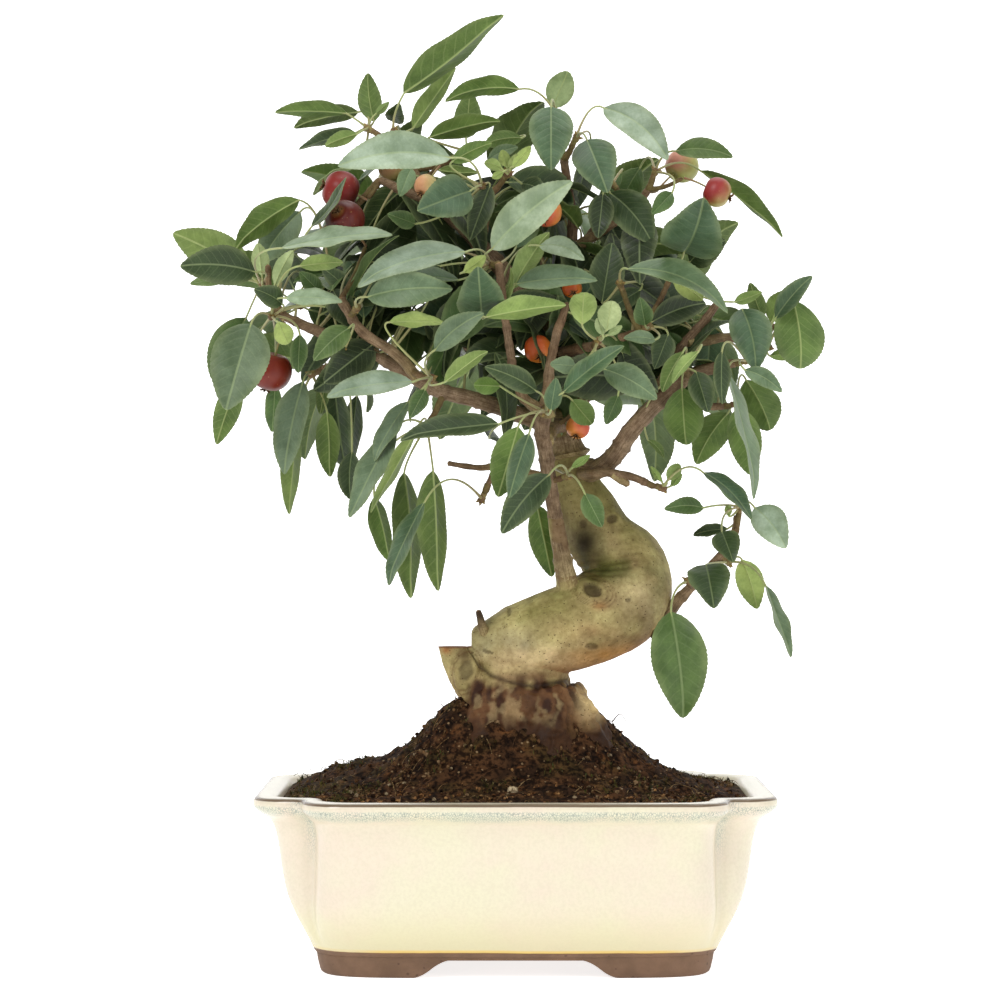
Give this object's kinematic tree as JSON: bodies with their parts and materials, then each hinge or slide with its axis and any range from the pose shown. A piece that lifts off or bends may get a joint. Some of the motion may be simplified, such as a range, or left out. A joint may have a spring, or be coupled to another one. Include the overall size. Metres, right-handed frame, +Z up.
{
  "type": "crabapple bonsai",
  "caption": "Crabapple bonsai with a thick S-curved trunk, leafy round crown and small fruit, standing in soil in a glazed lobed pot on four low feet.",
  "frame": {"origin": "on the plane that the pot's feet stand on, under the middle of the whole plant's bounding box; the middle of the pot lies 7.8 mm to +X and 15.4 mm to -Y of it", "axes": "+Z up, -Y towards the front of the tree, +X to the right seen from the front"},
  "size_m": [0.3086, 0.2268, 0.451],
  "materials": {
    "pot_glaze": "gloss",
    "screen": "matte",
    "soil": "matte",
    "bark": "matte",
    "leaf": "satin",
    "fruit_red": "satin",
    "fruit_green": "satin",
    "fruit_orange": "satin"
  },
  "bodies": {
    "root": {"pot": "pot_glaze", "drain_screen_left": "screen", "drain_screen_right": "screen", "soil": "soil", "trunk": "bark", "fruit_left_upper": "fruit_red", "fruit_left_second": "fruit_red", "fruit_left_low": "fruit_red", "fruit_right_top": "fruit_red", "fruit_right_green": "fruit_green", "fruit_crown": "fruit_orange", "fruit_crown_left": "fruit_green", "fruit_crown_young": "fruit_orange", "fruit_middle": "fruit_orange", "fruit_low": "fruit_orange", "fruit_inner": "fruit_orange", "spray_left_tip": "leaf", "spray_left_low": "leaf", "spray_left_hanging": "leaf", "spray_left_middle": "leaf", "spray_left_upper": "leaf", "spray_crown_left_tip": "leaf", "spray_crown_spire": "leaf", "spray_crown_front": "leaf", "spray_crown_middle": "leaf", "spray_crown_young": "leaf", "spray_crown_top": "leaf", "spray_crown_right": "leaf", "spray_right_crown_inner": "leaf", "spray_right_crown_tip": "leaf", "spray_right_shoulder": "leaf", "spray_right_inner_top": "leaf", "spray_right_inner": "leaf", "spray_centre_upper": "leaf", "spray_centre": "leaf", "spray_left_front": "leaf", "spray_left_front_upper": "leaf", "spray_hanging": "leaf", "spray_hanging_inner": "leaf", "spray_centre_low": "leaf", "spray_low_front": "leaf", "spray_middle_right": "leaf", "spray_right_twig": "leaf", "spray_right_face": "leaf", "spray_right_tip": "leaf", "spray_right_branch": "leaf", "spray_low_right_twig": "leaf", "spray_right_low_top": "leaf", "spray_right_low": "leaf", "spray_right_low_hanging": "leaf", "spray_back_1_1": "leaf", "spray_back_1_2": "leaf", "spray_back_1_3": "leaf", "spray_back_2_1": "leaf", "spray_back_2_2": "leaf", "spray_back_2_3": "leaf", "spray_back_3_1": "leaf", "spray_back_3_2": "leaf", "spray_back_4_1": "leaf"}
  },
  "joints": []
}
